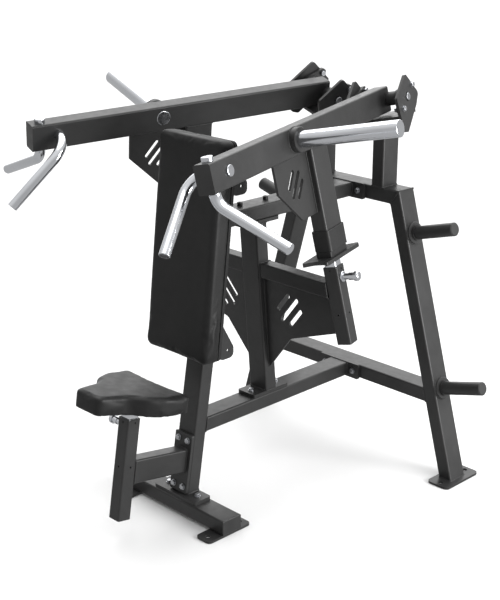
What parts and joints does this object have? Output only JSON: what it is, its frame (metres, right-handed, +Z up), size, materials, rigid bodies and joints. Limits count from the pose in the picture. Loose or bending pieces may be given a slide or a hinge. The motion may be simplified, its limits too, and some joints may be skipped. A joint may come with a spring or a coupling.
{
  "type": "plate-loaded shoulder press machine",
  "caption": "Plate-loaded seated press machine with two independent swinging arms, sliding arm stops, a height-adjustable seat, a tall back pad and plate storage horns.",
  "frame": {"origin": "centre of the machine's footprint on the floor", "axes": "+Z up, the seated user faces -Y, +X is the user's left"},
  "size_m": [1.3024, 1.2895, 1.3671],
  "materials": {
    "frame_paint": "matte powder coat",
    "chrome": "polished",
    "zinc": "zinc plated",
    "black_steel": "black oxide",
    "vinyl": "satin upholstery vinyl",
    "board": "black covered board",
    "rubber": "moulded",
    "plastic": "moulded"
  },
  "bodies": {
    "frame": {"front_foot_beam": "frame_paint", "front_foot_plates": "frame_paint", "foot_beam_caps": "plastic", "front_post": "frame_paint", "frame_flanges": "frame_paint", "seat_support_tube": "frame_paint", "seat_outer_tube": "frame_paint", "guide_bushes": "plastic", "pin_housings": "chrome", "back_board": "board", "back_pad": "vinyl", "pad_brackets": "frame_paint", "pad_screws": "zinc", "lower_beam": "frame_paint", "upper_beam": "frame_paint", "column": "frame_paint", "frame_bolts": "zinc", "socket_bolts": "black_steel", "cross_tubes": "frame_paint", "cross_gussets": "frame_paint", "stop_outer_tubes": "frame_paint", "rear_leg_left": "frame_paint", "rear_leg_right": "frame_paint", "rear_top_beam": "frame_paint", "rear_lower_beam": "frame_paint", "rear_foot_plates": "frame_paint", "storage_horns": "frame_paint", "pivot_bases": "frame_paint", "pivot_plates": "frame_paint", "pivot_bearings": "frame_paint", "rear_posts": "frame_paint"},
    "seat": {"seat_inner_tube": "chrome", "seat_plate": "frame_paint", "seat_screws": "zinc", "seat_pad": "vinyl"},
    "seat_pull_pin": {"seat_pin": "chrome"},
    "arm_stop_left": {"stop_inner_tube_left": "chrome", "stop_plate_left": "frame_paint", "stop_bumper_left": "rubber"},
    "stop_pull_pin_left": {"stop_pin_left": "chrome"},
    "shaft_left": {"pivot_shaft_left": "zinc"},
    "press_arm_left": {"arm_tube_left": "frame_paint", "outer_handle_left": "chrome", "inner_handle_left": "chrome", "weight_horn_left": "chrome", "arm_leg_left": "frame_paint", "arm_gusset_left": "frame_paint", "leg_boot_left": "rubber"},
    "arm_stop_right": {"stop_inner_tube_right": "chrome", "stop_plate_right": "frame_paint", "stop_bumper_right": "rubber"},
    "stop_pull_pin_right": {"stop_pin_right": "chrome"},
    "shaft_right": {"pivot_shaft_right": "zinc"},
    "press_arm_right": {"arm_tube_right": "frame_paint", "outer_handle_right": "chrome", "inner_handle_right": "chrome", "weight_horn_right": "chrome", "arm_leg_right": "frame_paint", "arm_gusset_right": "frame_paint", "leg_boot_right": "rubber"}
  },
  "joints": [
    {"name": "seat_height", "type": "slide", "parent": "frame", "child": "seat", "axis": [0, 0.1642, 0.9864], "range_m": [0, 0.15]},
    {"name": "seat_pin_pull", "type": "slide", "parent": "frame", "child": "seat_pull_pin", "axis": [-1, 0, 0], "range_m": [0, 0.012], "stiffness_N_per_m": 800},
    {"name": "arm_stop_height_left", "type": "slide", "parent": "frame", "child": "arm_stop_left", "axis": [-0.1862, -0.0972, 0.9777], "range_m": [0, 0.08]},
    {"name": "stop_pin_pull_left", "type": "slide", "parent": "frame", "child": "stop_pull_pin_left", "axis": [0.9506, 0.2338, 0.2043], "range_m": [0, 0.012], "stiffness_N_per_m": 800},
    {"name": "arm_start_height_left", "type": "hinge", "parent": "frame", "child": "shaft_left", "pos_m": [0.131, 0.53375, 1.2778], "axis": [-0.9506, -0.2338, -0.2043], "range_deg": [0, 10.4]},
    {"name": "press_left", "type": "hinge", "parent": "shaft_left", "child": "press_arm_left", "pos_m": [0.131, 0.53375, 1.2778], "axis": [-0.9506, -0.2338, -0.2043], "range_deg": [0, 42]},
    {"name": "arm_stop_height_right", "type": "slide", "parent": "frame", "child": "arm_stop_right", "axis": [0.1862, -0.0972, 0.9777], "range_m": [0, 0.08]},
    {"name": "stop_pin_pull_right", "type": "slide", "parent": "frame", "child": "stop_pull_pin_right", "axis": [-0.9506, 0.2338, 0.2043], "range_m": [0, 0.012], "stiffness_N_per_m": 800},
    {"name": "arm_start_height_right", "type": "hinge", "parent": "frame", "child": "shaft_right", "pos_m": [-0.131, 0.53375, 1.2778], "axis": [-0.9506, 0.2338, 0.2043], "range_deg": [0, 10.4]},
    {"name": "press_right", "type": "hinge", "parent": "shaft_right", "child": "press_arm_right", "pos_m": [-0.131, 0.53375, 1.2778], "axis": [-0.9506, 0.2338, 0.2043], "range_deg": [0, 42]}
  ],
  "couplings": [
    {"joint": "arm_start_height_left", "follows": "arm_stop_height_left", "rad_per_m": 2.257},
    {"joint": "arm_start_height_right", "follows": "arm_stop_height_right", "rad_per_m": 2.257}
  ]
}
